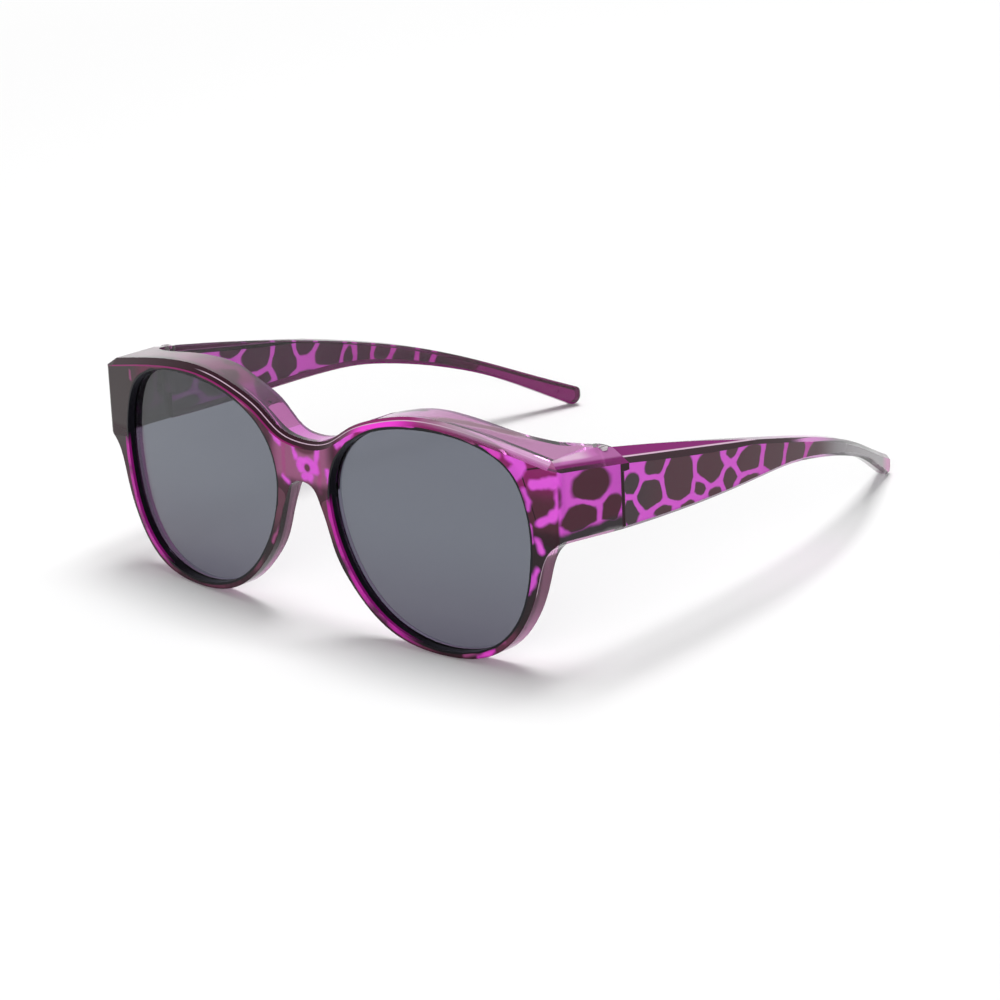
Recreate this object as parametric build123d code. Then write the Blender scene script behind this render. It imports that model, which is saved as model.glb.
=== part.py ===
from build123d import *
import os
from math import atan2, cos, degrees, radians, sin

# Fitover sunglasses: a large one-piece front with a deep brow shelf, two cylindrical
# lenses held in a groove, and two tall tapering temples on moulded barrel hinges.
#
# Everything is drawn with the front upright: x to the wearer's left, y backwards, z up,
# z = 0 at the middle of the lens openings and y = 0 on the face of the bridge.
# At the end all pieces are leaned back together, so that the rims and the temple tips
# stand on the plane z = 0, with the origin under the middle of the whole object.

# Lens openings and the rim around them
opening_width = 57.1
opening_height = 50.5
nose_gap = 17.6
rim_width = 2.4
rim_foot = 1.3
brow_land = 2.45
end_piece_width = 7.9

# Bridge
bridge_dip = 11.1
bridge_height = 9.5
bridge_facet_width = 11.4

# Bow of the face, seen from above
face_sag = 6.4
face_middle_share = 0.31
corner_radius = 1.8

# Depths behind the face
front_lip = 2.0
lens_thickness = 1.4
back_lip = 0.6
groove_depth = 0.65
lens_gap = 0.05
shelf_wall = 2.0
brow_bevel = 1.7

# Flange behind the outer half of each rim, which leans in towards the eye
flange_wall = 0.8
flange_inset = 0.35
flange_reach = 2.2
flange_lean = 8.0
flange_start_share = 0.12
flange_top_gap = 1.4

# End pieces, between the face and the temples
seam_y = 24.9
end_piece_foot = 4.6
seam_foot = 3.6
seam_top = 21.9
end_wall = 3.4
end_flare = 2.0
top_tilt = 9.4
top_cant = 8.5
bevel_width = 4.1
bevel_height = 3.1
bevel_rise = 2.1

# Temples
temple_length = 123.0
temple_root_thickness = 4.4
temple_tip_thickness = 3.2
temple_toe_in = 24.2
temple_drop = 40.4
temple_gap = 0.15
bevel_run = 53.0
bevel_fall = 11.7
outer_bevel = 0.9
inner_bevel = 0.4
tip_top_round = 1.6
tip_foot_round = 2.2
tip_mark_radius = 0.55
tip_mark_depth = 0.25
tip_mark_share = 0.946
tip_mark_drop_share = 0.90

# Hinges
hinge_inset = 4.5
hinge_setback = 1.3
barrel_radius = 2.3
lug_height = 4.8
knuckle_height = 3.2
lower_ear_height = 2.6
knuckle_gap = 0.12
lug_reach = 2.0
screw_radius = 0.7
screw_clearance = 0.05
head_radius = 1.2
head_height = 0.6
slot_width = 0.35
slot_depth = 0.3
hinge_clearance = 0.15

# Length that carries every cutting solid past the piece it cuts, and the distance
# within which two places count as one
overrun = 30.0
close_by = 0.05

# Outlines as shares of the sizes they follow
lens_shares = [
    (1.00, 0.03),
    (0.975, 0.43),
    (0.83, 0.77),
    (0.50, 0.955),
    (0.02, 1.00),
    (-0.50, 0.90),
    (-0.85, 0.66),
    (-0.995, 0.33),
    (-0.965, -0.08),
    (-0.82, -0.44),
    (-0.53, -0.785),
    (-0.10, -0.98),
    (0.30, -0.984),
    (0.655, -0.83),
    (0.885, -0.52),
]
brow_shares = [
    (0.0, 0.0),
    (0.108, 0.126),
    (0.19, 0.46),
    (0.30, 0.76),
    (0.41, 0.937),
    (0.52, 1.0),
    (0.66, 0.937),
    (0.82, 0.765),
    (1.0, 0.52),
]
rim_shares = [
    (1.126, 0.141),
    (1.061, 0.06),
    (1.016, -0.056),
    (0.984, -0.188),
    (0.945, -0.339),
    (0.848, -0.576),
    (0.709, -0.78),
    (0.535, -0.915),
    (0.328, -0.983),
    (0.118, -1.0),
    (-0.125, -0.98),
    (-0.347, -0.911),
    (-0.58, -0.748),
    (-0.751, -0.552),
    (-0.887, -0.326),
    (-0.9515, -0.128),
]
arch_shares = [
    (0.73, 0.085),
    (0.61, 0.42),
    (0.42, 0.82),
    (0.0, 1.0),
]
shelf_rear_shares = [
    (0.0, 0.28),
    (0.10, 0.315),
    (0.20, 0.365),
    (0.30, 0.385),
    (0.42, 0.44),
    (0.55, 0.445),
    (0.68, 0.465),
    (0.79, 0.515),
    (0.85, 0.59),
    (0.90, 0.70),
    (0.925, 0.83),
]
# Temple outlines, as shares of the temple's length behind the seam, its toe-in and its drop
temple_plan_shares = [
    (0.0, 0.0),
    (0.16, -0.01),
    (0.35, 0.015),
    (0.57, 0.155),
    (0.73, 0.37),
    (0.87, 0.66),
    (1.0, 0.96),
]
temple_top_shares = [
    (0.0, 0.0),
    (0.146, 0.085),
    (0.31, 0.19),
    (0.477, 0.31),
    (0.627, 0.437),
    (0.773, 0.604),
    (0.90, 0.78),
    (1.0, 0.915),
    (1.06, 0.996),
]
temple_foot_shares = [
    (0.15, 0.467),
    (0.30, 0.468),
    (0.42, 0.466),
    (0.50, 0.478),
    (0.57, 0.513),
    (0.65, 0.570),
    (0.73, 0.644),
    (0.80, 0.726),
    (0.868, 0.83),
    (0.967, 1.0),
    (1.06, 1.152),
]
temple_station_shares = [0.0, 0.15, 0.3, 0.45, 0.6, 0.75, 0.88, 1.0]
knuckle_share = 0.78

# Places that follow from the sizes above
opening_x = nose_gap / 2 + opening_width / 2
corner_x = nose_gap / 2 + opening_width + end_piece_width
brow_z = opening_height / 2 + brow_land
foot_z = -opening_height / 2 - rim_foot
bridge_z = brow_z - bridge_dip
arch_z = bridge_z - bridge_height
facet_x = bridge_facet_width / 2
rim_depth = front_lip + lens_thickness + back_lip + 2 * lens_gap
side_x = corner_x + end_flare
hinge_x = side_x - hinge_inset
hinge_y = seam_y - hinge_setback
lug_z = seam_top - lug_height
knuckle_top_z = lug_z - knuckle_gap
knuckle_z = knuckle_top_z - knuckle_height
ear_top_z = knuckle_z - knuckle_gap
ear_z = ear_top_z - lower_ear_height
head_z = seam_top - head_height / 2
sky = brow_z + overrun
ground = foot_z - overrun
far_y = seam_y + temple_length + overrun

# Distance from the rims' feet to the temple tips, which the object stands on
stance = seam_y + temple_length - face_sag * face_middle_share - rim_depth


def face_y(x):
    """Depth of the face behind the bridge at a distance x from the middle."""
    reach = corner_x - facet_x
    run = (x - facet_x) / reach
    curve = 2 - 4 * face_middle_share
    return face_sag * ((1 - curve) * run + curve * run * run)


def face_edges(depth):
    """The bowed face line seen from above, moved back by depth."""
    wide_x = corner_x + overrun
    middle_x = (facet_x + wide_x) / 2
    bow = ThreePointArc(
        (facet_x, depth),
        (middle_x, face_y(middle_x) + depth),
        (wide_x, face_y(wide_x) + depth),
    )
    flat = Line((-facet_x, depth), (facet_x, depth))
    return flat, bow, bow.mirror(Plane.YZ)


def face_shell(front, back):
    """Slab that follows the face, between two depths behind it."""
    flat, bow, bow_other = face_edges(front)
    flat_b, bow_b, bow_b_other = face_edges(back)
    side = Line(bow @ 1, bow_b @ 1)
    side_other = side.mirror(Plane.YZ)
    outline = Face(Wire([flat, bow, side, bow_b, flat_b, bow_b_other, side_other, bow_other]))
    return extrude(outline.moved(Location((0, 0, ground))), amount=sky - ground, dir=(0, 0, 1))


def front_points(shares, origin, spans):
    """Points in the front view from shares of two spans around an origin."""
    return [(origin[0] + sx * spans[0], 0, origin[1] + sz * spans[1]) for sx, sz in shares]


def lens_face(growth):
    """Lens outline in the front view, grown by the given amount all round."""
    spans = (opening_width / 2 + growth, opening_height / 2 + growth)
    points = front_points(lens_shares, (opening_x, 0), spans)
    return Face(Wire([Spline(*points, periodic=True)]))


def front_prism(face):
    """A front view outline carried backwards through the whole object."""
    return extrude(face.moved(Location((0, -overrun, 0))), amount=far_y + overrun, dir=(0, 1, 0))


def both(half):
    """A right-hand shape together with its mirror image."""
    return half + mirror(half, about=Plane.YZ)


def across(half):
    """Points from the right-hand end, through the middle plane, to the left-hand end."""
    return half + [(-x, y, z) for x, y, z in reversed(half[:-1])]


def brow_line():
    """Top of the front as seen from the front, carried outwards past both corners."""
    points = front_points(brow_shares, (0, bridge_z), (corner_x, bridge_dip))
    brow = Spline(*across(points[::-1]))
    wing = Line((brow @ 0) - (brow % 0) * 2 * end_flare, brow @ 0)
    return wing, brow, wing.mirror(Plane.YZ)


def under_brow():
    """Everything below the top of the front."""
    line = brow_line()
    end = line[0] @ 0
    sides = Polyline(end, (end.X, 0, ground), (-end.X, 0, ground), (-end.X, 0, end.Z))
    return front_prism(Face(Wire([*line, *sides.edges()])))


def front_outline():
    """Whole outline of the front as seen from the front, with its ends carried outwards."""
    rim_spans = (opening_width / 2 + rim_width, opening_height / 2 + rim_foot)
    line = brow_line()
    high = line[0] @ 0
    foot = Spline(
        *across(
            [(corner_x, 0, end_piece_foot)]
            + front_points(rim_shares, (opening_x, 0), rim_spans)
            + front_points(arch_shares, (0, 0), (nose_gap / 2, arch_z))
        )
    )
    side = Polyline(high, (high.X, 0, end_piece_foot), foot @ 0)
    return Face(Wire([*line, *side.edges(), foot, *side.mirror(Plane.YZ).edges()]))


def plan_prism(face, low, high):
    """An outline seen from above, carried upwards between two heights."""
    return extrude(face.moved(Location((0, 0, low))), amount=high - low, dir=(0, 0, 1))


def side_prism(face):
    """An outline seen from the side, carried across one half of the object."""
    return extrude(face, amount=side_x + overrun, dir=(1, 0, 0))


def plan_polygon(points):
    """Straight-sided outline seen from above."""
    return Face(Wire.make_polygon([(x, y, 0) for x, y in points]))


def beyond(first, second, third):
    """The half space on the side that the three points turn anticlockwise to."""
    a, b, c = Vector(first), Vector(second), Vector(third)
    normal = (b - a).cross(c - a)
    plane = Plane(origin=a, z_dir=normal)
    size = far_y + overrun
    block = Box(size, size, size, align=(Align.CENTER, Align.CENTER, Align.MIN))
    return plane.location * block


def top_cut():
    """Everything above the end piece's top, which falls backwards and outwards."""
    fall = Vector(0, cos(radians(top_tilt)), -sin(radians(top_tilt)))
    cant = Vector(cos(radians(top_cant)), 0, -sin(radians(top_cant)))
    edge = Vector(side_x - bevel_width, seam_y, seam_top)
    return beyond(edge, edge + cant, edge + fall)


def bevel_cut(rear_y, rear_z):
    """Everything outside the bevel between the top and the outer face."""
    low = (side_x, seam_y, seam_top - bevel_height)
    high = (side_x - bevel_width, seam_y, seam_top)
    return beyond(low, (side_x, rear_y, rear_z), high)


def foot_cut():
    """Everything outside the bevel along the lower edge of the end piece."""
    corner_foot = end_piece_foot - (end_piece_foot - seam_foot) * face_sag / seam_y
    front_high = (corner_x, face_sag, corner_foot + outer_bevel)
    rear_high = (side_x, seam_y, seam_foot + outer_bevel)
    rear_low = (side_x - outer_bevel, seam_y, seam_foot)
    return beyond(front_high, rear_low, rear_high) & plan_prism(
        plan_polygon([(0, 0), (side_x * 2, 0), (side_x * 2, far_y), (0, far_y)]),
        seam_foot - outer_bevel,
        sky,
    )


def shelf_plan():
    """Brow shelf seen from above, out to where it meets the end piece."""
    rear = [(sx * corner_x, sy * seam_y, 0) for sx, sy in shelf_rear_shares]
    edge = Spline(*rear, tangents=[(1, 0, 0), (bevel_width, seam_y - rear[-1][1], 0)])
    stop = (hinge_x - barrel_radius, hinge_y - shelf_wall / 2, 0)
    sides = Polyline(edge @ 1, stop, (side_x, stop[1], 0), (side_x, 0, 0), (0, 0, 0), edge @ 0)
    return Face(Wire([edge, *sides.edges()]))


def envelope():
    """All that lies behind the face and inside the flared sides, corners rounded."""
    flat, bow, bow_other = face_edges(0)
    rear_y = seam_y + lug_reach + hinge_inset
    back = Polyline(bow @ 1, ((bow @ 1).X, rear_y), (-(bow @ 1).X, rear_y), bow_other @ 1)
    behind = Face(Wire([flat, bow, bow_other, *back.edges()]))
    flare = end_flare / (seam_y - face_sag)
    front_x = side_x - flare * (seam_y + overrun)
    rear_x = side_x + flare * (rear_y + overrun - seam_y)
    inside = plan_polygon(
        [
            (-front_x, -overrun),
            (front_x, -overrun),
            (rear_x, rear_y + overrun),
            (-rear_x, rear_y + overrun),
        ]
    )
    plan = behind & inside
    corners = plan.vertices().filter_by(lambda v: abs(v.X) > opening_x and v.Y < seam_y)
    plan = fillet(corners, corner_radius)
    return extrude(plan.face().moved(Location((0, 0, ground))), amount=sky - ground, dir=(0, 0, 1))


def hinge_cylinder(radius, low, high):
    """A cylinder on the hinge axis."""
    height = high - low
    place = Pos(hinge_x, hinge_y, low)
    return place * Cylinder(radius, height, align=(Align.CENTER, Align.CENTER, Align.MIN))


def lug(grow):
    """Upper hinge ear, a rounded tongue that reaches past the seam into the temple."""
    low = lug_z - grow
    radius = barrel_radius + grow
    tongue = plan_polygon(
        [
            (hinge_x, hinge_y - radius),
            (side_x + overrun, hinge_y - radius),
            (side_x + overrun, seam_y + lug_reach + grow),
            (side_x, seam_y + lug_reach + grow),
            (hinge_x, hinge_y + radius),
        ]
    )
    return hinge_cylinder(radius, low, sky) + plan_prism(tongue, low, sky)


def lower_ear():
    """Lower hinge ear, joined to the inside of the end wall."""
    root = plan_polygon(
        [
            (hinge_x, hinge_y - barrel_radius),
            (side_x - end_wall / 2, hinge_y - barrel_radius),
            (side_x - end_wall / 2, hinge_y),
            (hinge_x, hinge_y + barrel_radius / 2),
        ]
    )
    return hinge_cylinder(barrel_radius, ear_z, ear_top_z) + plan_prism(root, ear_z, ear_top_z)


def knuckle():
    """Temple's hinge knuckle with the gusset that joins it to the temple."""
    root_y = seam_y + temple_gap
    gusset = plan_polygon(
        [
            (hinge_x - barrel_radius, hinge_y),
            (hinge_x - barrel_radius, root_y),
            (side_x - temple_root_thickness / 2, root_y + 2 * barrel_radius),
            (hinge_x + barrel_radius * knuckle_share, root_y + barrel_radius),
            (hinge_x + barrel_radius * knuckle_share, hinge_y),
        ]
    )
    return hinge_cylinder(barrel_radius, knuckle_z, knuckle_top_z) + plan_prism(
        gusset, knuckle_z, knuckle_top_z
    )


def front_frame():
    """Front moulding: rims, bridge, brow shelf, end pieces and hinge ears."""
    outline = front_prism(front_outline())
    plate = outline & face_shell(0, rim_depth)
    brow_edges = plate.edges().filter_by(on_brow_edge)
    brow_waste = plate - chamfer(brow_edges, brow_bevel)

    behind = face_shell(rim_depth / 2, far_y)
    roof = outline - outline.moved(Location((0, 0, -shelf_wall)))
    shelf = roof & behind & both(plan_prism(shelf_plan(), bridge_z - shelf_wall * 2, sky))

    wall_plan = plan_polygon(
        [
            (corner_x - end_wall, 0),
            (side_x + overrun, 0),
            (side_x + overrun, seam_y),
            (side_x - end_wall, seam_y),
        ]
    )
    wall_side = Face(
        Wire.make_polygon(
            [
                (0, 0, end_piece_foot),
                (0, seam_y, seam_foot),
                (0, seam_y, sky),
                (0, 0, sky),
            ]
        )
    )
    wall = plan_prism(wall_plan, ground, sky) & side_prism(wall_side)

    hidden = hinge_cylinder(barrel_radius + hinge_clearance, knuckle_z - knuckle_gap, lug_z)
    right = wall + lug(0)
    right = right - hidden + lower_ear()
    front = plate + shelf + both(right & under_brow())
    front = front & envelope()

    front = front - both(top_cut()) - both(foot_cut())
    bevel_nose = (corner_x, face_sag, seam_top - bevel_height + bevel_rise)
    bevel = beyond(
        (side_x, seam_y, seam_top - bevel_height),
        (side_x - bevel_width, seam_y, seam_top),
        bevel_nose,
    )
    front = front - both(bevel) - brow_waste

    groove = front_prism(lens_face(groove_depth)) & face_shell(
        front_lip, rim_depth - back_lip
    )
    opening = front_prism(lens_face(0)) & face_shell(-overrun, rim_depth + overrun / 2)
    screw_hole = hinge_cylinder(screw_radius + screw_clearance, ear_z - overrun, sky)
    head_seat = hinge_cylinder(head_radius + screw_clearance, head_z, sky)
    front = front - both(groove) - both(opening) + both(flange())
    return front - both(screw_hole) - both(head_seat)


def flange():
    """Wall behind the rim of the wearer's left lens, deepest at the outer side."""
    root = face_y(opening_x + opening_width / 2) + rim_depth
    slope = sin(radians(flange_lean)) / cos(radians(flange_lean))
    ring = (lens_face(flange_inset + flange_wall) - lens_face(flange_inset)).face()
    ring = ring.moved(Location((slope * root, 0, 0)))
    wall = extrude(ring, amount=far_y, dir=Vector(-slope, 1, 0))
    start_x = opening_x + flange_start_share * opening_width / 2
    start_y = face_y(start_x) + rim_depth
    end_x = opening_x + opening_width / 2 + rim_width
    outer_half = plan_polygon(
        [(start_x, 0), (start_x, start_y), (end_x, root + flange_reach), (end_x, 0)]
    )
    below = plan_prism(outer_half, ground, end_piece_foot + flange_top_gap)
    return wall & below & face_shell(rim_depth - back_lip / 2, far_y)


def on_brow_edge(edge):
    """True for the sharp edge between the face and the brow, short of the end pieces."""
    middle = edge @ 0.5
    on_face = abs(middle.Y - face_y(max(abs(middle.X), facet_x))) < close_by
    return on_face and middle.Z > bridge_z - close_by


def lens():
    """Lens for the wearer's left eye, bowed like the face."""
    return front_prism(lens_face(groove_depth - lens_gap)) & face_shell(
        front_lip + lens_gap, front_lip + lens_gap + lens_thickness
    )


def temple():
    """Temple for the wearer's left side: tall at the hinge, toed in and down at the tip."""
    root_y = seam_y + temple_gap
    length = temple_length

    outer = Spline(
        *[(side_x - sx * temple_toe_in, root_y + sy * length, 0) for sy, sx in temple_plan_shares]
    )
    inner_points = []
    for share in temple_station_shares:
        along = outer % share
        inward = Vector(-along.Y, along.X, 0)
        thickness = temple_root_thickness + share * (temple_tip_thickness - temple_root_thickness)
        inner_points.append(outer @ share + inward * thickness)
    inner = Spline(*inner_points)
    ends = [Line(outer @ 0, inner @ 0), Line(outer @ 1, inner @ 1)]
    plan = Face(Wire([outer, inner, *ends]))

    top = Spline(
        *[(0, root_y + sy * length, seam_top - sz * temple_drop) for sy, sz in temple_top_shares]
    )
    foot = Spline(
        (0, root_y, seam_foot),
        *[(0, root_y + sy * length, seam_top - sz * temple_drop) for sy, sz in temple_foot_shares],
    )
    side = Face(Wire([top, foot, Line(top @ 0, foot @ 0), Line(top @ 1, foot @ 1)]))
    body = plan_prism(plan, ground, sky) & side_prism(side)

    body = fillet(tip_edges(body)[:1], tip_foot_round)
    body = fillet(tip_edges(body)[-1:], tip_top_round)
    foot_edges = body.edges().filter_by(lambda edge: edge.length > length).sort_by(Axis.Z)[:2]
    body = chamfer(foot_edges.sort_by(Axis.X)[-1:], outer_bevel)
    foot_edges = body.edges().filter_by(lambda edge: edge.length > length).sort_by(Axis.Z)[:3]
    body = chamfer(foot_edges.sort_by(Axis.X)[:1], inner_bevel)

    body = body - bevel_cut(seam_y + bevel_run, seam_top - bevel_fall)
    low = ear_z - knuckle_gap
    ear_room = hinge_cylinder(barrel_radius + hinge_clearance, low, ear_top_z + knuckle_gap)
    body = body - lug(hinge_clearance) - ear_room + knuckle() - tip_mark(inner)
    return body - hinge_cylinder(screw_radius + screw_clearance, ear_z - overrun, sky)


def tip_mark(inner):
    """Shallow round mark that the mould leaves on the inner face near the tip."""
    place = inner @ tip_mark_share
    along = inner % tip_mark_share
    height = seam_top - tip_mark_drop_share * temple_drop
    across_face = Plane(origin=(place.X, place.Y, height), z_dir=(-along.Y, along.X, 0))
    return across_face.location * Cylinder(tip_mark_radius, 2 * tip_mark_depth)


def tip_edges(body):
    """Edges of a temple's end face, from the lowest to the highest."""
    return body.faces().filter_by(GeomType.PLANE).sort_by(Axis.Y)[-1].edges().sort_by(Axis.Z)


def hinge_screw():
    """Slotted screw that is the pin of one hinge."""
    shaft = hinge_cylinder(screw_radius, ear_z, head_z)
    head = hinge_cylinder(head_radius, head_z, head_z + head_height)
    slot = Pos(hinge_x, hinge_y, head_z + head_height) * Box(
        slot_width, 2 * head_radius, 2 * slot_depth
    )
    return shaft + head - slot


def other_side(piece):
    """Mirror image, for the wearer's right."""
    return mirror(piece, about=Plane.YZ)


pieces = {
    "front_frame": front_frame(),
    "lens_left": lens(),
    "temple_left": temple(),
    "hinge_screw_left": hinge_screw(),
}
for name in ("lens", "temple", "hinge_screw"):
    pieces[name + "_right"] = other_side(pieces[name + "_left"])

# Lean back onto the rims and the temple tips, and centre the whole on the origin
rest_angle = 0
for _ in range(4):
    lean = Rot(-rest_angle, 0, 0)
    tip_foot = (lean * pieces["temple_left"]).bounding_box().min.Z
    rim_foot_z = (lean * pieces["front_frame"]).bounding_box().min.Z
    rest_angle += degrees(atan2(tip_foot - rim_foot_z, stance))
lean = Rot(-rest_angle, 0, 0)
leaned = {name: lean * piece for name, piece in pieces.items()}
box = Compound(children=[Compound(piece.solids()) for piece in leaned.values()]).bounding_box()
settle = Pos(0, -(box.min.Y + box.max.Y) / 2, -box.min.Z)

os.makedirs("parts", exist_ok=True)
for name, piece in leaned.items():
    placed = settle * piece
    export_step(placed, "parts/" + name + ".step")
    size = placed.bounding_box().size
    print(name, "solids", len(placed.solids()), "size", size)

print("rest angle", rest_angle)
print("hinge", settle * lean * Pos(hinge_x, hinge_y, head_z))
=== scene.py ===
from functools import reduce
from math import atan2, cos, hypot, pi, radians, sin
from operator import mul

import bpy
from mathutils import Matrix, Vector

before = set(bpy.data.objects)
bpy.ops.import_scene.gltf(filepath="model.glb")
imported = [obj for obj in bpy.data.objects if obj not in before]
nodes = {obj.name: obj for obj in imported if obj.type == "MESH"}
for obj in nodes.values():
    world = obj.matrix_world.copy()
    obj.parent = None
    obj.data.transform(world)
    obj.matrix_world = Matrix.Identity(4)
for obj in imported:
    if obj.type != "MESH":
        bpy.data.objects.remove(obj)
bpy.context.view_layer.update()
print("frame loaded:", ", ".join(sorted(nodes)))

bpy.ops.object.select_all(action="DESELECT")


# shader maths as expressions
class Value:  # one output socket; each operator on it adds a Math or Vector Math node
    def __init__(self, net, socket):
        self.net, self.socket = net, socket
        self.wide = socket.type in ("VECTOR", "RGBA")

    def __add__(self, other):
        return self.net.maths("ADD", self, other)

    def __radd__(self, other):
        return self.net.maths("ADD", other, self)

    def __sub__(self, other):
        return self.net.maths("SUBTRACT", self, other)

    def __rsub__(self, other):
        return self.net.maths("SUBTRACT", other, self)

    def __mul__(self, other):
        return self.net.maths("MULTIPLY", self, other)

    def __rmul__(self, other):
        return self.net.maths("MULTIPLY", other, self)

    def __truediv__(self, other):
        return self.net.maths("DIVIDE", self, other)

    def __neg__(self):
        return self.net.maths("MULTIPLY", self, -1)

    def __abs__(self):
        return self.net.maths("ABSOLUTE", self)

    def least(self, other):
        return self.net.maths("MINIMUM", self, other)

    def most(self, other):
        return self.net.maths("MAXIMUM", self, other)

    def length(self):
        return self.net.maths("LENGTH", self)

    def dot(self, other):
        return self.net.maths("DOT_PRODUCT", self, other)

    def ramp(self, low, high, start=0.0, end=1.0):  # smooth step between two values of this socket
        return self.net.add("ShaderNodeMapRange", {"interpolation_type": "SMOOTHSTEP"},
                            {"Value": self, "From Min": low, "From Max": high,
                             "To Min": start, "To Max": end})

    def axis(self, name):
        return self.net.add("ShaderNodeSeparateXYZ", {}, {0: self}, name)


class Net:  # the node tree of a material or of the world
    def __init__(self, owner):
        owner.use_nodes = True
        self.owner, self.tree = owner, owner.node_tree
        self.tree.nodes.clear()

    def add(self, kind, settings, inputs, output=0):
        node = self.tree.nodes.new(kind)
        for name, setting in settings.items():
            setattr(node, name, setting)
        for name, value in inputs.items():
            socket = node.inputs[name]
            if isinstance(value, Value):
                self.tree.links.new(value.socket, socket)
            elif socket.type == "RGBA":
                socket.default_value = (*value, 1)
            else:
                socket.default_value = value
        return Value(self, node.outputs[output])

    def maths(self, operation, *values):  # vector maths as soon as one of the values is a vector
        if not any(isinstance(v, tuple) or isinstance(v, Value) and v.wide for v in values):
            return self.add("ShaderNodeMath", {"operation": operation}, dict(enumerate(values)))
        filled = [v if isinstance(v, (Value, tuple)) else (v, v, v) for v in values]
        output = "Value" if operation in ("LENGTH", "DOT_PRODUCT") else "Vector"
        return self.add("ShaderNodeVectorMath", {"operation": operation}, dict(enumerate(filled)), output)

    def mix(self, mask, first, second):  # of two colours
        return self.add("ShaderNodeMix", {"data_type": "RGBA"}, {0: mask, 6: first, 7: second}, 2)

    def blend(self, mask, first, second):  # of two numbers
        return self.add("ShaderNodeMix", {}, {0: mask, 2: first, 3: second})

    def blendShaders(self, mask, first, second):
        return self.add("ShaderNodeMixShader", {}, {0: mask, 1: first, 2: second})

    def noise(self, place, scale, detail, output="Fac"):
        return self.add("ShaderNodeTexNoise", {}, {"Vector": place, "Scale": scale, "Detail": detail}, output)

    def coordinates(self, name):
        return self.add("ShaderNodeTexCoord", {}, {}, name)

    def principled(self, **sockets):
        return self.add("ShaderNodeBsdfPrincipled", {},
                        {name.replace("_", " "): value for name, value in sockets.items()})

    def output(self, shader, kind="ShaderNodeOutputMaterial"):
        end = self.tree.nodes.new(kind)
        self.tree.links.new(shader.socket, end.inputs["Surface"])
        return self.owner


# camera, at the angle and distance of the photograph
camera = {
    "place": (0.6110, -0.6179, 0.3234),
    "right": (0.72350, 0.68559, -0.08066),
    "up": (-0.18133, 0.30149, 0.93607),
    "back": (0.66608, -0.66263, 0.34245),
    "lens": 137.66,
    "sensor": 36.0,
    "clip": (0.01, 50.0),
}
cameraData = bpy.data.cameras.new("studioCamera")
cameraData.sensor_width = camera["sensor"]
cameraData.lens = camera["lens"]
cameraData.clip_start, cameraData.clip_end = camera["clip"]
studioCamera = bpy.data.objects.new("studioCamera", cameraData)
bpy.context.scene.collection.objects.link(studioCamera)
turn = Matrix((camera["right"], camera["up"], camera["back"])).transposed().to_4x4()
studioCamera.matrix_world = Matrix.Translation(camera["place"]) @ turn
bpy.context.scene.camera = studioCamera
print("camera placed")

# studio: white floor, soft lamps and white surroundings
studio = {
    "floorSize": 12.0,
    "floorDrop": 0.0002,
    "floorColour": (0.81, 0.81, 0.81),
    "floorRoughness": 0.9,
    "floorShine": 0.1,
    "floorGlow": 0.05,
    "floorTurnsPlain": (0.35, 0.8),  # metres from the middle
    "plainThroughGlass": 0.75,  # share of plain white in the floor that is seen through the object
    "white": (1, 1, 1),
    "worldPlain": 0.30,  # strength of the surroundings as a light; they look plain white
    "lamps": [  # name, place, aimed at, size x, size y, watts
        ("overheadLamp", (-0.12, 0.40, 1.77), (0, 0, 0), 0.88, 0.88, 29.3),
        ("frontFill", (0.55, -1.15, 0.42), (0, 0, 0.03), 1.2, 0.5, 7.5),
    ],
}


def lightPath(net, name):
    return net.add("ShaderNodeLightPath", {}, {}, name)


def seenRays(net):  # camera, glossy and transmission rays
    names = ("Is Camera Ray", "Is Glossy Ray", "Is Transmission Ray")
    return reduce(Value.most, [lightPath(net, name) for name in names])


def whiteGlow(net, strength):
    return net.add("ShaderNodeEmission", {}, {"Color": studio["white"], "Strength": strength})


def floorPaper():  # keeps the object's shadow near it, and is plain white further away
    net = Net(bpy.data.materials.new("floorPaper"))
    lit = net.principled(Base_Color=studio["floorColour"], Roughness=studio["floorRoughness"],
                         Specular_IOR_Level=studio["floorShine"])
    both = net.add("ShaderNodeAddShader", {}, {0: lit, 1: whiteGlow(net, studio["floorGlow"])})
    paper = net.blendShaders(seenRays(net), lit, both)
    away = net.coordinates("Object").length().ramp(*studio["floorTurnsPlain"])
    throughGlass = lightPath(net, "Is Transmission Ray") * studio["plainThroughGlass"]
    plainShare = (away * seenRays(net)).most(throughGlass)
    return net.output(net.blendShaders(plainShare, paper, whiteGlow(net, 1.0)))


bpy.ops.mesh.primitive_plane_add(size=studio["floorSize"], location=(0, 0, -studio["floorDrop"]))
floor = bpy.context.object
floor.name = "floor"
floor.data.materials.append(floorPaper())

worldNet = Net(bpy.data.worlds.new("whiteSurroundings"))
surroundings = worldNet.add("ShaderNodeBackground", {}, {
    "Color": studio["white"], "Strength": seenRays(worldNet).ramp(0, 1, studio["worldPlain"], 1.0)})
bpy.context.scene.world = worldNet.output(surroundings, "ShaderNodeOutputWorld")

for name, place, aim, sizeX, sizeY, watts in studio["lamps"]:
    data = bpy.data.lights.new(name, "AREA")
    data.shape, data.size, data.size_y, data.energy = "RECTANGLE", sizeX, sizeY, watts
    lamp = bpy.data.objects.new(name, data)
    bpy.context.scene.collection.objects.link(lamp)
    lamp.location = place
    lamp.visible_glossy = False
    lamp.rotation_euler = (Vector(aim) - Vector(place)).to_track_quat("-Z", "Y").to_euler()

bpy.context.scene.view_settings.view_transform = "Standard"
print("studio lit")

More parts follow.
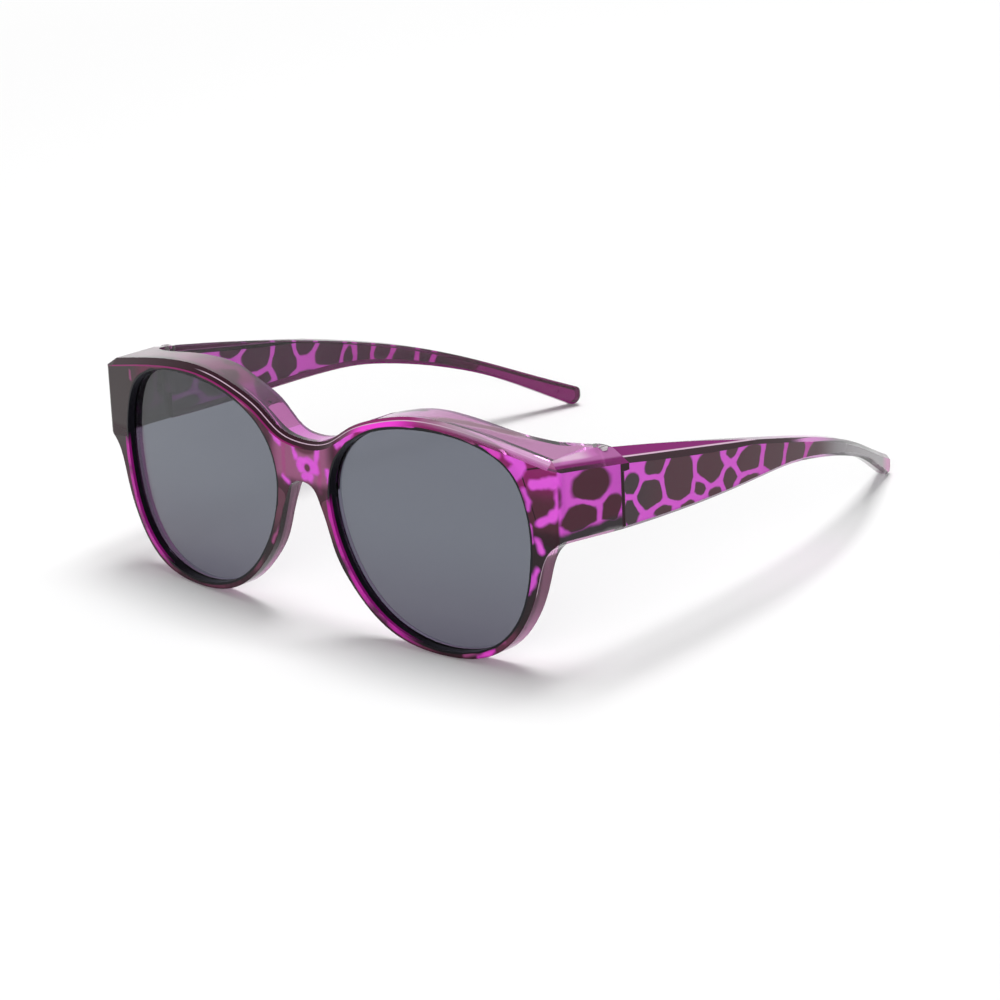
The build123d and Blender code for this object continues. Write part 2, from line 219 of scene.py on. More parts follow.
# spotted plastic of the front and the temples
plastic = {  # its tones
    "vein": (0.70, 0.055, 0.66),
    "veinDeep": (0.50, 0.010, 0.34),
    "veinFace": (0.78, 0.030, 0.58),
    # faint veins, and the painted highlights along the bridge's creases
    "faintVeinAndCreaseHighlight": (0.34, 0.060, 0.20),
    "spotCool": (0.036, 0.016, 0.024),
    "spotWarm": (0.066, 0.011, 0.026),
    "clear": (0.66, 0.20, 0.60),
    "clearArch": (0.64, 0.11, 0.57),
    "clearDim": (0.42, 0.16, 0.28),
    "foot": (0.40, 0.30, 0.38),
    # painted shade: the dark tone of the lower sides of the end pieces and of the left temple's underside
    "under": (0.030, 0.022, 0.028),
    # near black: the mould mark, and painted shade along the lens openings and on the front of their walls
    "wall": (0.004, 0.003, 0.006),
    "faceBlack": (0.016, 0.007, 0.010),
    # painted shade and painted dark reflection: faces in the seam gaps, the brow bevel, and dark lines along
    # bevels, edges and the edges seen inside the end piece
    "shadeBlack": (0.022, 0.001, 0.008),
    "darkMaroon": (0.030, 0.006, 0.014),
    "maroon": (0.115, 0.024, 0.055),
    "leg": (0.115, 0.032, 0.058),
    "bridge": (0.30, 0.085, 0.19),
    "rimTop": (0.22, 0.006, 0.105),
    "corner": (0.047, 0.034, 0.036),
    # painted highlight: a lighter grey along the very lower edge of the end piece's side, near the seam
    "edgeHighlightGrey": (0.17, 0.155, 0.165),
    "bandDark": (0.20, 0.001, 0.13),
    # painted highlights: pale lines and bands on the bevels and at edges
    "highlightPale": (0.66, 0.47, 0.60),
    "pink": (0.46, 0.13, 0.38),
    # painted dark reflection: a grey-brown streak on the top shelf
    "darkReflection": (0.20, 0.115, 0.145),
    "mauve": (0.26, 0.10, 0.18),
    "mauveFoot": (0.55, 0.11, 0.46),
    "rimSide": (0.125, 0.050, 0.085),
    "rimSideFoot": (0.34, 0.085, 0.25),
    # painted light: the flange behind the lens is painted bright and made to glow, its nose side near white
    # as a painted reflection
    "flange": (0.80, 0.56, 0.70),
    "flangeNose": (0.95, 0.84, 0.93),
    "tipGrey": (0.27, 0.25, 0.27),
    "tipPink": (0.62, 0.16, 0.44),
    "tipDeep": (0.30, 0.010, 0.19),
}
finish = {
    "ior": 1.49,
    "gloss": 0.05,  # roughness of the spots, the veins and the solid tones
    "clearGloss": 0.02,
    "spotShine": 0.38,
    "faceShine": 0.22,
    "solidShine": 0.15,
    "veinGlass": 0.18,  # how much light the veins let through
    "farVeinGlass": 0.45,
}
pattern = {  # in mm
    "veinWidth": 1.15,
    "spotGrowth": 1.12,
    "wobble": 1.1,
    "wobbleNoise": (0.17, 2.0),  # scale and detail
    "templeBlur": 0.32,
    "frontBlur": 0.55,
    "farGap": 50.0,  # more than the gap between any two spots
}
lean = {  # how the front leans back on its rims, and where its middle is, in mm
    "angle": radians(3.0201679),
    "back": 73.04877,
    "up": 26.84073,
}
leanCos, leanSin = cos(lean["angle"]), sin(lean["angle"])
shiftBack = lean["back"] * leanCos + lean["up"] * leanSin
shiftUp = lean["back"] * leanSin - lean["up"] * leanCos

# dark spots of the outer faces: place behind the bridge, height, half length, half height, in mm
leftSpots = [
    (27.5, 13.6, 2.4, 2.6), (33.1, 9.6, 3.9, 3.4), (35.7, 16.0, 3.2, 2.2), (43.1, 10.9, 4.8, 5.0),
    (50.0, 7.0, 2.0, 2.4), (54.0, 11.2, 4.7, 3.8), (54.8, 4.4, 2.2, 1.2), (60.5, 6.1, 2.5, 2.6),
    (60.8, 12.2, 3.2, 1.3), (68.1, 9.0, 4.8, 3.1), (67.3, 4.0, 3.8, 1.1), (77.0, 7.1, 4.6, 3.3),
    (86.0, 5.2, 4.2, 3.3), (26.9, 7.0, 3.2, 3.2), (37.8, 4.8, 3.2, 1.3), (45.6, 4.4, 3.2, 1.1),
    (15.5, 16.4, 5.4, 3.5), (21.6, 8.9, 3.5, 3.6), (11.8, 9.2, 5.4, 3.3), (17.0, 5.4, 8.5, 1.7),
    (3.4, 13.8, 3.6, 5.2), (3.6, 6.6, 4.6, 2.4), (102.0, 1.6, 10.6, 4.4),
]
rightSpots = [
    (47.1, 15.4, 3.4, 2.0), (55.5, 11.6, 4.8, 3.7), (56.7, 5.6, 3.2, 1.7), (63.9, 8.7, 4.0, 5.3),
    (71.3, 11.2, 3.4, 2.2), (79.3, 7.3, 4.3, 3.8), (84.9, 5.2, 2.2, 2.3), (89.5, 4.9, 2.7, 2.8),
    (95.6, 4.3, 2.6, 2.2), (102.3, 1.8, 3.6, 3.0), (107.7, -0.2, 2.2, 2.9), (116.5, -2.9, 6.9, 3.2),
    (29.0, 11.4, 5.5, 3.8), (17.4, 13.8, 4.2, 6.1), (28.5, 5.5, 7.2, 1.9), (42.0, 8.9, 5.9, 3.7),
    (17.4, 19.6, 3.5, 1.5), (70.7, 2.8, 3.8, 1.7), (76.9, 1.9, 2.6, 1.5),
    (7.0, 15.6, 4.6, 4.2), (5.6, 6.8, 4.4, 3.0), (12.6, 4.8, 3.4, 1.6),
]


def upright(net):  # place in mm with the front upright, y from the face of the bridge
    return net.add("ShaderNodeMapping", {},
                   {"Vector": net.coordinates("Object"), "Location": (0, shiftBack, shiftUp),
                    "Rotation": (lean["angle"], 0, 0), "Scale": (1000, 1000, 1000)})


def facing(net):  # the way a face looks out, also where light meets it from inside
    fromInside = net.add("ShaderNodeNewGeometry", {}, {}, "Backfacing")
    return net.coordinates("Normal") * (1 - fromInside * 2)


def wobbled(net, place, amount=1.0):
    noise = net.noise(place, *pattern["wobbleNoise"], "Color")
    return place + (noise - 0.5) * (2 * pattern["wobble"] * amount)


def inside(at, windows):  # 1 in all the windows: the name of a value, where it gives 0 and where 1
    return reduce(mul, [at[name].ramp(zero, one) for name, zero, one in windows])


def layered(net, at, tone, layers):  # a tone with others laid over it, each in its own windows
    colour = plastic[tone]
    for over, *windows in layers:
        colour = net.mix(inside(at, windows), colour, plastic[over])
    return colour


def blob(place, spot):  # distance in mm from the edge of an oval, less than 0 inside it
    along, high, halfLong, halfHigh = spot
    halfLong, halfHigh = halfLong * pattern["spotGrowth"], halfHigh * pattern["spotGrowth"]
    least = min(halfLong, halfHigh)
    return ((place - (0, along, high)) * (0, 1 / halfLong, 1 / halfHigh)).length() * least - least


def spotMask(place, spots, blur):  # 1 on a spot and 0 on the veins between
    first = blob(place, spots[0])
    second = first + pattern["farGap"]
    for spot in spots[1:]:
        gap = blob(place, spot)
        second = second.least(first.most(gap))
        first = first.least(gap)
    apart = (second - first).ramp(pattern["veinWidth"] - blur, pattern["veinWidth"] + blur)
    return first.ramp(blur, -blur) * apart


def skinShader(net, dark, veins, darkness, shine, veinGlass):  # spots and veins of an outer face
    solid = net.principled(Base_Color=darkness, Roughness=finish["gloss"], IOR=finish["ior"],
                           Specular_IOR_Level=shine)
    bright = net.principled(Base_Color=veins, Roughness=finish["gloss"], IOR=finish["ior"],
                            Transmission_Weight=veinGlass)
    return net.blendShaders(dark, bright, solid)


def clearShader(net, tint):
    return net.principled(Base_Color=tint, Roughness=finish["clearGloss"], IOR=finish["ior"],
                          Transmission_Weight=1.0)


def solidShader(net, colour, roughness=finish["gloss"], glow=0.0):
    return net.principled(Base_Color=colour, Roughness=roughness, IOR=finish["ior"],
                          Specular_IOR_Level=finish["solidShine"],
                          Emission_Color=colour, Emission_Strength=glow)


# temples: windows on mm behind the bridge, on mm above the bevel's lower edge and on facings
temple = {
    "bevelSlope": 0.1623,
    "bevelFoot": 22.84,
    "skinFace": [("facingOut", 0.76, 0.84)],
    # painted shade: a dark line on the temple's outer face at the seam with the front
    "seamShade": [("back", 25.44, 25.38)],
    "bevel": [("facingUp", 0.5, 0.6), ("facingOut", 0.35, 0.45), ("back", 92, 84)],
    # painted shade and painted highlight on the temple's bevel: a black line at its foot, a pale highlight
    # line above it, then its dark magenta
    "stripesWithShadeAndHighlight": [("bandDark", ("rise", 1.2, 1.3)), ("highlightPale", ("rise", 0.99, 1.11), ("rise", 1.36, 1.24))],
    "spotTones": [("spotWarm", ("back", 26, 42))],
    "veinTones": [("veinDeep", ("back", 60, 100))],
    "tints": [("foot", ("facingUp", -0.5, -0.6), ("back", 72, 60))],
    # painted shade: the temple's face in the seam gap
    "solids": [("shadeBlack", 1.0, ("facingFront", 0.7, 0.85), ("back", 25.6, 25.3))],  # tone, share, windows
}
leftTemple = {  # its tip turns grey, with a pink end
    "side": 1,
    "spots": leftSpots,
    "veinGlass": finish["veinGlass"],
    "spotTones": [("tipGrey", ("back", 96, 110))],
    "veinTones": [("tipGrey", ("back", 101, 112)), ("tipPink", ("back", 139, 145))],
    "tints": [("tipGrey", ("back", 98, 112))],
    "solids": [
        ("tipPink", 0.75, ("facingBack", 0.55, 0.75), ("back", 140, 143)),
        # painted shade on the temple's underside
        ("under", 0.7, ("facingUp", -0.5, -0.6), ("back", 95, 75)),
    ],
}
rightTemple = {  # its tip turns deep magenta
    "side": -1,
    "spots": rightSpots,
    "veinGlass": finish["farVeinGlass"],
    "spotTones": [("tipDeep", ("back", 112, 124))],
    "veinTones": [("tipDeep", ("back", 108, 122))],
    "tints": [("tipDeep", ("back", 105, 122))],
    "solids": [
        ("tipDeep", 0.75, ("facingBack", 0.55, 0.75), ("back", 140, 143)),
        ("bandDark", 1.0, ("facingUp", -0.5, -0.6)),
    ],
}


def templePlastic(name, own):
    net = Net(bpy.data.materials.new(name))
    place, normal = upright(net), facing(net)
    back, facingBack = place.axis("Y"), normal.axis("Y")
    at = {
        "back": back,
        "rise": place.axis("Z") + back * temple["bevelSlope"] - temple["bevelFoot"],
        "facingOut": normal.axis("X") * own["side"],
        "facingUp": normal.axis("Z"),
        "facingBack": facingBack,
        "facingFront": -facingBack,
    }
    spots = spotMask(wobbled(net, place), own["spots"], pattern["templeBlur"])
    # the seam is painted as shade
    spots = spots.most(inside(at, temple["seamShade"]))
    seamShadeTone = [("shadeBlack", *temple["seamShade"])]
    darkness = layered(net, at, "spotCool", temple["spotTones"] + own["spotTones"] + seamShadeTone)
    veins = layered(net, at, "vein", temple["veinTones"] + own["veinTones"])
    skin = skinShader(net, spots, veins, darkness, finish["spotShine"], own["veinGlass"])

    tint = layered(net, at, "clear", temple["tints"] + own["tints"])
    # the bevel carries a painted shade line and a painted highlight line
    bevelShadeAndHighlight = layered(net, at, "shadeBlack", temple["stripesWithShadeAndHighlight"])
    body = net.blendShaders(inside(at, temple["bevel"]), clearShader(net, tint), solidShader(net, bevelShadeAndHighlight))
    for tone, share, *windows in temple["solids"] + own["solids"]:
        body = net.blendShaders(inside(at, windows) * share, body, solidShader(net, plastic[tone]))
    return net.output(net.blendShaders(inside(at, temple["skinFace"]), body, skin))


# front: the face is bowed, and a lens's opening and the rim's outline are read from the mesh
rim = {
    "facet": 5.7,  # half width of the flat at the bridge
    "bowRun": 68.1,
    "sag": 6.4,
    "straightShare": 0.24,  # of the sag
    "near": 0.05,
    "middleAcross": 37.35,
    "halfWidth": 28.5,
    "halfHeight": 25.2,
    "steps": 72,
    "largest": 60.0,
}
# bright veins on the front's face, from point to point: across, height, across, height, half width
faceVeins = [
    (14.8, 19.6, 17.2, 22.5, 0.75), (19.1, 23.3, 25.2, 25.5, 1.20), (25.2, 25.5, 32.3, 26.3, 1.20),
    (32.3, 26.3, 36.0, 26.3, 0.90), (55.0, 24.3, 58.1, 23.3, 0.60), (61.3, 23.4, 64.3, 21.2, 1.10),
    (64.3, 21.2, 62.4, 19.4, 1.30), (64.7, 15.8, 66.1, 13.7, 0.30), (66.1, 13.7, 65.6, 11.8, 0.30),
    (66.2, 7.7, 66.5, 4.5, 0.25), (68.0, 4.9, 69.1, 2.6, 0.45), (66.9, -2.1, 65.0, -7.4, 0.30),
    (67.4, 17.6, 70.6, 18.4, 0.90), (70.6, 18.4, 74.5, 18.8, 1.20), (68.6, 8.7, 71.5, 10.4, 0.55),
    (71.5, 10.4, 73.4, 13.2, 0.60), (73.4, 13.2, 74.2, 18.0, 0.90), (50.8, -24.8, 55.0, -22.9, 0.10),
    (-6.2, 7.5, -4.6, 6.2, 0.30), (0.2, 11.2, 3.8, 11.2, 1.50), (1.0, 8.6, 3.0, 8.6, 1.00),
    (-1.4, 12.4, -3.2, 16.2, 0.35), (4.8, 12.2, 6.4, 16.4, 0.35), (8.2, 11.3, 8.4, 8.4, 0.40),
    (12.2, 17.7, 14.5, 19.3, 0.70), (-9.4, 17.4, -7.1, 15.0, 0.30),
]
faintVeinsAndCreaseHighlights = [
    (-28.7, 24.1, -23.2, 23.5, 0.30), (-23.2, 23.5, -17.3, 21.7, 0.35),
    (-17.3, 21.7, -13.3, 20.1, 0.35), (-63.3, 21.4, -63.2, 19.4, 0.05),
    (-11.1, -9.6, -5.2, -0.3, 0.10), (8.9, 8.1, 12.2, -1.6, 0.25),
    # the two upright lines 5.7 mm either side of the middle are painted highlights along the bridge's creases
    (12.2, -1.6, 13.0, -6.0, 0.25), (-5.7, 17.0, -5.7, 6.0, 0.40), (5.8, 16.5, 5.8, 6.0, 0.40),
    (47.0, -25.4, 58.0, -20.0, 0.30), (44.0, 25.6, 52.0, 24.0, 0.50),
]
innerLines = [  # thin dark lines where the edges inside the end piece show on its face
    (64.2, 20.3, 66.3, 14.0, 0.14), (66.3, 14.0, 68.2, 8.0, 0.14),
    (64.2, 20.3, 69.5, 21.7, 0.16), (69.5, 21.7, 73.8, 21.2, 0.16),
]
# windows that more than one of the front's masks uses
leftHalf = ("across", -0.5, 0.5)
endPiece = ("out", 70.6, 71.2)
sideFace = ("facingSide", 0.55, 0.85)
lowerEdge = ("wavyUp", 8.0, 6.4)
# painted shade along the seam between front and temple
seamShadeEdge = ("back", 24.30, 24.36)
# painted highlight: a pale band on the brow bevel
browHighlight = ("across", 32, 52)
edgeways = ("facingDepth", 0.5, 0.4)
belowEnd = [("up", 6.5, 5.5), ("out", 70.4, 70.0)]
front = {  # windows on places in mm, on facings and on distances in mm
    "leftHalf": [leftHalf],
    "atEnd": [endPiece],
    "skinFace": [("facingSkin", 0.85, 0.93), ("depth", 24.5, 24.0)],
    "sideFace": [sideFace],
    "lowRim": [("up", 6, 2)],
    "lowRimLeft": [("across", 36, 26), leftHalf],
    "lowRimRight": [("across", -50, -56)],
    "patches": (0.11, 3.0),  # scale and detail of a noise, as the next one
    "ripple": (0.32, 1.0),
    "rippleDepth": 1.8,
    "faceWobble": 0.8,

    # spots and veins
    # painted shade: the lower edge of the end piece's side is made all dark
    "under": [lowerEdge],
    # painted shade: a dark line along the seam
    "seamShade": [sideFace, seamShadeEdge],
    "veinEdge": (-0.30, 0.80),
    "faintEdge": (0.8, -0.3),
    "lineEdge": (0.12, -0.05),
    "bridgeSpot": ((2.0, 0, 10.7), (1, 0, 1), 1.4, 0.6),  # middle, scale, outside and inside it in mm
    "bridgeKnot": ((1.5, 0, 15.6), (0.45, 0, 1), 2.2, 1.3),
    "faceTones": [
        ("maroon", ("patches", 0.40, 0.62)),
        ("rimTop", ("up", 12, 17), ("across", 9, 15)),
        ("darkMaroon", ("across", 31, 38), ("across", 58, 53), ("up", 17, 20)),
        ("leg", ("out", 18, 14), ("up", 10, 4)),
        ("faceBlack", ("out", 17, 14), ("up", -2, -9)),
        ("bridge", ("out", 11, 7), ("up", 4, 9)),
        ("corner", ("across", -57, -64), ("up", -3, 4)),
        ("spotWarm", ("across", 62, 68), ("up", 20, 12)),
        ("faceBlack", ("across", 58, 63), ("up", 9, 4), ("up", -20, -15)),
    ],
    "rimGlow": [("openingGap", 1.35, 0.9), ("patches", 0.30, 0.50)],
    # painted shade: a dark line along the lower rim's outline
    "rimEdgeShade": [("outlineGap", 0.45, 0.15), ("up", 8, 6)],
    "rimEdgeShadeShare": 0.7,
    # painted shade: a dark line on the face along each lens opening
    "openingShadeLine": [("openingGap", 0.68, 0.43)],
    # on the end piece's side: painted shade towards the lower edge, a painted highlight along the very lower
    # edge near the seam, and painted shade along the seam
    "sideTones": [
        ("under", lowerEdge),
        ("edgeHighlightGrey", ("wavyUp", 5.4, 4.2), ("back", 10, 20)),
        ("shadeBlack", sideFace, seamShadeEdge),
    ],
    "veinTones": [("vein", sideFace), ("vein", ("across", 58, 62)), ("vein", ("out", 20, 12))],

    # bevels along the brow and on the end piece, banded by depth and by height; the bands hold painted
    # highlights, painted shade and painted dark reflection
    "bevelSlope": 0.1135,
    "bevelFoot": 21.63,
    "brow": [("facingUp", 0.35, 0.45), ("facingFront", 0.3, 0.4), ("depth", 2.6, 2.4)],
    "browHighlight": [browHighlight],
    "browHighlightShare": 0.45,
    "browTones": [
        ("rimTop", ("across", 6, 24)),
        ("veinFace", ("across", 14, 20), ("across", 38, 27), ("depth", 1.05, 0.85), ("patches", 0.32, 0.50)),
        ("highlightPale", ("depth", 0.1, 1.5), browHighlight),
        ("rimTop", ("depth", -1.06, -0.94), ("depth", 0.34, 0.22), ("across", 2, -4)),
        ("highlightPale", ("depth", 0.89, 1.01), ("depth", 1.14, 1.02), ("across", -38, -32)),
    ],
    "endBevel": [("facingUp", 0.5, 0.6), ("facingOut", 0.35, 0.45), endPiece],
    "endBevelShare": 0.8,
    # the end bevel's pale band is a painted highlight and the dark band at its foot painted shade
    "endTones": [
        ("pink", ("rise", 1.0, 1.5)),
        ("highlightPale", ("rise", 1.6, 2.1), ("back", 20, 15)),
        ("shadeBlack", ("rise", 0.9, 0.5), ("back", 27, 12)),
    ],
    # painted dark reflection: a grey-brown streak across the top shelf
    "darkReflectionMiddle": (48.5, 8.1, 0),
    "smearAlong": (0.942, 0.335, 0),
    "smearAside": (-0.335, 0.942, 0),
    "darkReflection": [("smearAside", 2.0, 0.6), ("facingUp", 0.5, 0.7), ("smearAlong", 15, 8)],
    "darkReflectionShare": 0.85,

    # clear body, the sides of the rims, the flange painted lit and glowing, and the wall of the lens opening
    # painted in shade
    "gate": ((-14.8, 5.2, 0), (1, 1, 0), 0.45, 0.25),
    "gateFace": [("facingUp", 0.2, 0.4)],
    "tints": [
        ("clearDim", ("facingUp", 0.7, 0.85), ("across", -21, -24)),
        ("clearArch", ("facingUp", 0.3, 0.5), ("across", -21, -20), ("across", 18, 6)),
        ("foot", ("facingUp", -0.7, -0.85), endPiece),
    ],
    "rimWall": [edgeways, ("fromLens", 0.3, 0.5), *belowEnd],
    "rimWallShare": 0.75,
    "rimTints": [("mauveFoot", ("up", -10, -22))],
    # the pale mark at the face's edge on the rim's side is a painted highlight
    "rimTones": [
        ("rimSideFoot", ("up", -8, -22)),
        ("faceBlack", ("out", 30, 20), ("depth", 3.2, 1.8)),
        ("highlightPale", ("depth", -0.36, -0.24), ("depth", 0.31, 0.19), ("across", 58, 60), ("up", -9, -7)),
    ],
    # painted light: the flange behind the lens is painted bright and glows
    "flange": [edgeways, ("depth", 2.3, 2.5), *belowEnd, ("fromLens", 0.3, 0.1)],
    "flangeShare": 0.85,
    "flangeGlow": 0.8,
    "flangeTones": [("flangeNose", ("out", 42, 32))],
    # painted shade: the front's face in the seam gap
    "seamGapShade": [("facingBack", 0.7, 0.85), ("back", 24.4, 24.7)],
    # painted shade: the front part of each opening's wall is near black, with a magenta band on the lower
    # rims
    "opening": [edgeways, ("fromLens", -0.2, -0.4), ("out", 8.3, 8.5)],
    "openingFront": [("depth", 2.3, 2.1)],
    "wallGlow": [("depth", 0.9, 0.6)],
    "wallGlowShare": 0.7,
    "wallRoughness": 0.25,
}


def bow(run):  # how far the bowed face lies behind the bridge, for a number or a Value
    return run * (run * (1 - rim["straightShare"]) + rim["straightShare"]) * rim["sag"]


def edgeRadii(keep):  # radii of the opening or of the rim's outline about the middle of a lens
    radii = {}
    for vertex in nodes["front_frame"].data.vertices:
        x, y, z = vertex.co * 1000
        if x <= rim["facet"]:
            continue
        high = y * leanSin + z * leanCos + shiftUp
        back = y * leanCos - z * leanSin + shiftBack
        if abs(back - bow((x - rim["facet"]) / rim["bowRun"])) < rim["near"]:
            turn = atan2(high, x - rim["middleAcross"]) / (2 * pi) + 0.5
            step = round(turn * rim["steps"]) % rim["steps"]
            radius = hypot(high, x - rim["middleAcross"])
            radii[step] = keep(radii.get(step, radius), radius)
    return [(step / rim["steps"], radii[step] / rim["largest"]) for step in sorted(radii)]


def edgeGap(net, fromMiddle, up, keep):  # distance in mm outwards from such an outline
    points = edgeRadii(keep)
    node = net.tree.nodes.new("ShaderNodeFloatCurve")
    curve = node.mapping.curves[0]
    curve.points[0].location = (0.0, points[0][1])
    curve.points[1].location = (1.0, points[0][1])
    for share, radius in points[1:]:
        curve.points.new(share, radius)
    node.mapping.update()
    turn = net.maths("ARCTAN2", up, fromMiddle) / (2 * pi) + 0.5
    net.tree.links.new(turn.socket, node.inputs["Value"])
    radius = net.maths("SQRT", fromMiddle * fromMiddle + up * up)
    return radius - Value(net, node.outputs[0]) * rim["largest"]


def streak(place, line):  # distance in mm from the edge of a round-ended line on the face
    x0, z0, x1, z1, half = line
    dx, dz = x1 - x0, z1 - z0
    square = dx * dx + dz * dz
    start = (place - (x0, 0, z0)) * (1, 0, 1)
    share = start.dot((dx / square, 0, dz / square)).most(0).least(1)
    return (start - share * (dx, 0, dz)).length() - half


def nearest(place, lines):
    return reduce(Value.least, [streak(place, line) for line in lines])


def mark(place, middle, scale, zero, one):
    return ((place - middle) * scale).length().ramp(zero, one)


def frontValues(net, place, moved):  # all that the front's windows are laid on, by name
    normal = facing(net)
    across, back, up = (place.axis(name) for name in "XYZ")
    facingAcross, facingBack, facingUp = (normal.axis(name) for name in "XYZ")
    out = abs(across)
    at = {
        "across": across,
        "out": out,
        "back": back,
        "up": up,
        "wavyUp": moved.axis("Z"),
        "depth": back - bow(((out - rim["facet"]) / rim["bowRun"]).most(0)),
        "rise": up + back * front["bevelSlope"] - front["bevelFoot"],
        "facingUp": facingUp,
        "facingBack": facingBack,
        "facingFront": -facingBack,
        "facingDepth": abs(facingBack),
        "patches": net.noise(place, *front["patches"]),
    }
    at["leftHalf"] = inside(at, front["leftHalf"])
    atEnd = inside(at, front["atEnd"])
    facingOut = facingAcross * (at["leftHalf"] * 2 - 1)  # away from the middle
    at["facingOut"] = facingOut
    at["facingSide"] = facingOut * atEnd
    at["facingSkin"] = facingOut.most(0) * atEnd - facingBack
    fromMiddle = out - rim["middleAcross"]
    at["openingGap"] = edgeGap(net, fromMiddle, up, min)
    at["outlineGap"] = -edgeGap(net, fromMiddle, up, max)
    at["fromLens"] = facingOut * fromMiddle / rim["halfWidth"] + facingUp * up / rim["halfHeight"]
    shelf = moved - front["darkReflectionMiddle"]
    at["smearAlong"] = abs(shelf.dot(front["smearAlong"]))
    at["smearAside"] = abs(shelf.dot(front["smearAside"]))
    lowSides = inside(at, front["lowRimLeft"]).most(inside(at, front["lowRimRight"]))
    at["lowRim"] = inside(at, front["lowRim"]) * lowSides
    return at


def frontSkin(net, at, place, moved):  # spots and veins of the face and of the end pieces
    stirred = wobbled(net, place, front["faceWobble"])
    side, seamShade = inside(at, front["sideFace"]), inside(at, front["seamShade"])
    sideSpots = net.blend(at["leftHalf"], spotMask(moved, rightSpots, pattern["frontBlur"]),
                          spotMask(moved, leftSpots, pattern["frontBlur"]))
    ripple = (net.noise(place, *front["ripple"]) - 0.5) * front["rippleDepth"]
    veins = (nearest(stirred, faceVeins) + ripple).ramp(*front["veinEdge"])
    spot, knot = mark(place, *front["bridgeSpot"]), mark(place, *front["bridgeKnot"])
    dark = net.blend(side, veins.most(spot), sideSpots.most(inside(at, front["under"])))

    darkness = layered(net, at, "darkMaroon", front["faceTones"])
    darkness = net.mix(spot.most(knot), darkness, plastic["maroon"])
    faint = nearest(stirred, faintVeinsAndCreaseHighlights).ramp(*front["faintEdge"])
    darkness = net.mix(faint, darkness, plastic["faintVeinAndCreaseHighlight"])
    lines = nearest(place, innerLines).ramp(*front["lineEdge"])
    darkness = net.mix(lines, darkness, plastic["shadeBlack"])
    darkness = net.mix(inside(at, front["rimGlow"]) * at["lowRim"], darkness, plastic["veinDeep"])
    # painted shade along the lower rim's outline
    rimEdgeShade = inside(at, front["rimEdgeShade"]) * front["rimEdgeShadeShare"]
    darkness = net.mix(rimEdgeShade, darkness, plastic["shadeBlack"])
    # painted shade along the lens opening
    openingShadeLine = inside(at, front["openingShadeLine"]) * (1 - at["lowRim"])
    darkness = net.mix(openingShadeLine, darkness, plastic["wall"])
    darkness = net.mix(side, darkness, layered(net, at, "spotWarm", front["sideTones"]))
    dark = dark.most(openingShadeLine * (1 - side)).most(seamShade)
    bright = layered(net, at, "veinFace", front["veinTones"])
    return skinShader(net, dark, bright, darkness, finish["faceShine"], finish["veinGlass"])


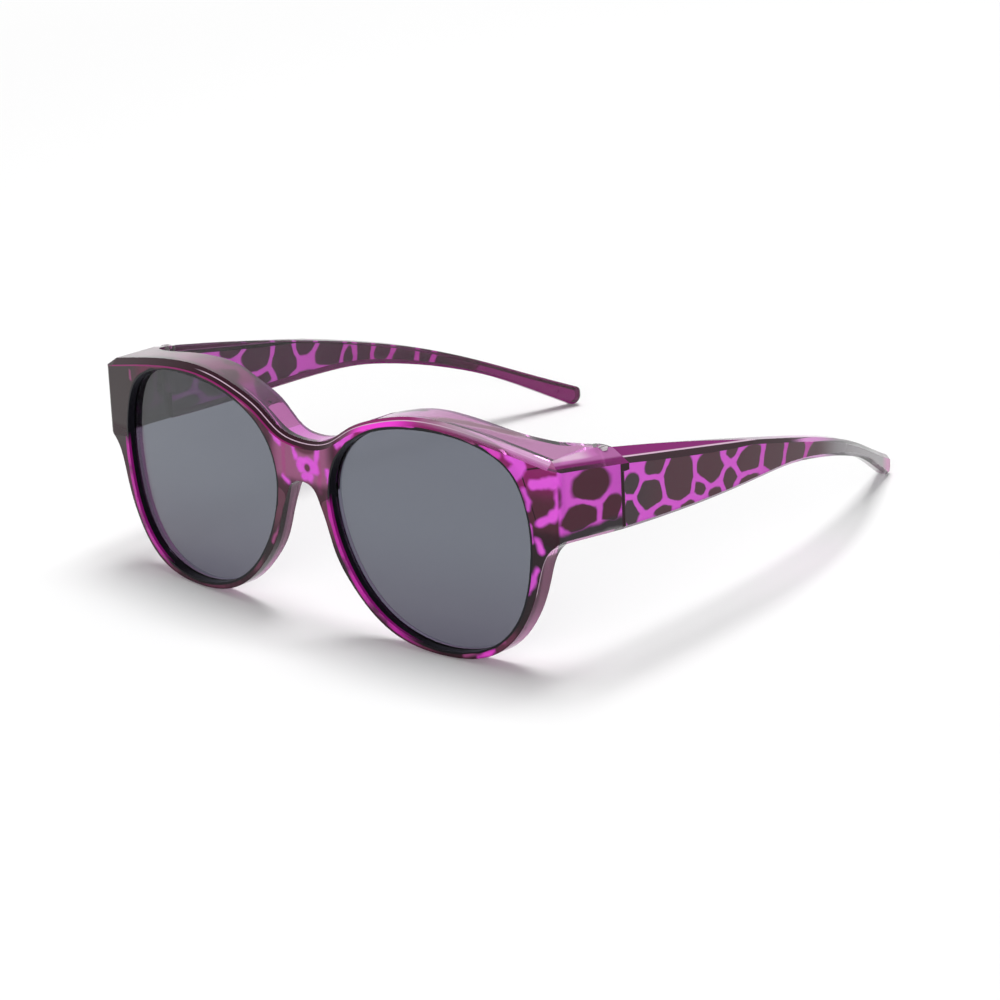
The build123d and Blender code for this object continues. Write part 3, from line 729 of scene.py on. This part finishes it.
def frontBody(net, at, place):  # what isn't skin: bevels, shelf, rims' sides, flanges and lens openings
    endBevel, darkReflection = inside(at, front["endBevel"]), inside(at, front["darkReflection"])
    tone = net.mix(endBevel, layered(net, at, "shadeBlack", front["browTones"]),
                   layered(net, at, "bandDark", front["endTones"]))
    # a painted dark reflection on the top shelf
    tone = net.mix(darkReflection, tone, plastic["darkReflection"])
    brow = inside(at, front["brow"]) * (1 - inside(at, front["browHighlight"]) * front["browHighlightShare"])
    cover = brow.most(endBevel * front["endBevelShare"]).most(darkReflection * front["darkReflectionShare"])

    rimWall, opening = inside(at, front["rimWall"]), inside(at, front["opening"])
    gate = mark(place, *front["gate"]) * inside(at, front["gateFace"])
    tint = net.mix(gate, layered(net, at, "clear", front["tints"]), plastic["wall"])
    tint = net.mix(rimWall, tint, layered(net, at, "mauve", front["rimTints"]))
    tint = net.mix(opening, tint, plastic["mauve"])
    body = net.blendShaders(cover, clearShader(net, tint), solidShader(net, tone))

    rimTone = layered(net, at, "rimSide", front["rimTones"])
    body = net.blendShaders(rimWall * front["rimWallShare"], body, solidShader(net, rimTone))
    # the flange is painted lit and glowing
    flangeTone = layered(net, at, "flange", front["flangeTones"])
    body = net.blendShaders(inside(at, front["flange"]) * front["flangeShare"], body,
                            solidShader(net, flangeTone, glow=front["flangeGlow"]))
    # the front's face in the seam gap is painted in shade
    body = net.blendShaders(inside(at, front["seamGapShade"]), body, solidShader(net, plastic["shadeBlack"]))
    # the front part of the opening's wall is painted in shade
    wallGlow = inside(at, front["wallGlow"]) * at["lowRim"] * front["wallGlowShare"]
    wallTone = net.mix(wallGlow, plastic["wall"], plastic["veinDeep"])
    return net.blendShaders(opening * inside(at, front["openingFront"]), body,
                            solidShader(net, wallTone, front["wallRoughness"]))


def frontPlastic():
    net = Net(bpy.data.materials.new("frontPlastic"))
    place = upright(net)
    moved = wobbled(net, place)
    at = frontValues(net, place, moved)
    body, skin = frontBody(net, at, place), frontSkin(net, at, place, moved)
    return net.output(net.blendShaders(inside(at, front["skinFace"]), body, skin))


def dress(node, material):
    for slot in nodes[node].material_slots:
        slot.material = material


dress("front_frame", frontPlastic())
dress("temple_left", templePlastic("leftTemplePlastic", leftTemple))
dress("temple_right", templePlastic("rightTemplePlastic", rightTemple))
print("plastic made")

# lenses and hinge screws
lens = {
    "tint": (0.140, 0.151, 0.186),
    # painted shade: the lens darkens towards its foot
    "footShadeTint": (0.106, 0.104, 0.140),
    "tintHeights": (4.0, -24.0),  # where the painted shade towards the foot starts and where it is full, in mm
    "roughness": 0.0,
}
screw = {
    # the steel's grey, darkened and tinted pink as a painted reflection of the plastic around it
    "steelAndPinkReflection": (0.52, 0.47, 0.50),
    "grain": (4000.0, 3.0),  # scale and detail
    "grainEdge": (0.3, 0.7),
    "roughness": (0.22, 0.38),
}


def lensGlass():
    net = Net(bpy.data.materials.new("smokeLens"))
    # painted shade: darker towards the lens's foot
    foot = upright(net).axis("Z").ramp(*lens["tintHeights"])
    return net.output(net.principled(Base_Color=net.mix(foot, lens["tint"], lens["footShadeTint"]),
                                     Roughness=lens["roughness"], IOR=finish["ior"],
                                     Transmission_Weight=1.0))


def screwSteel():
    net = Net(bpy.data.materials.new("screwSteel"))
    grain = net.noise(net.coordinates("Object"), *screw["grain"])
    return net.output(net.principled(Base_Color=screw["steelAndPinkReflection"], Metallic=1.0,
                                     Roughness=grain.ramp(*screw["grainEdge"], *screw["roughness"])))


glass, steelAndPinkReflection = lensGlass(), screwSteel()
for side in ("left", "right"):
    dress("lens_" + side, glass)
    dress("hinge_screw_" + side, steelAndPinkReflection)
print("lenses and screws made")
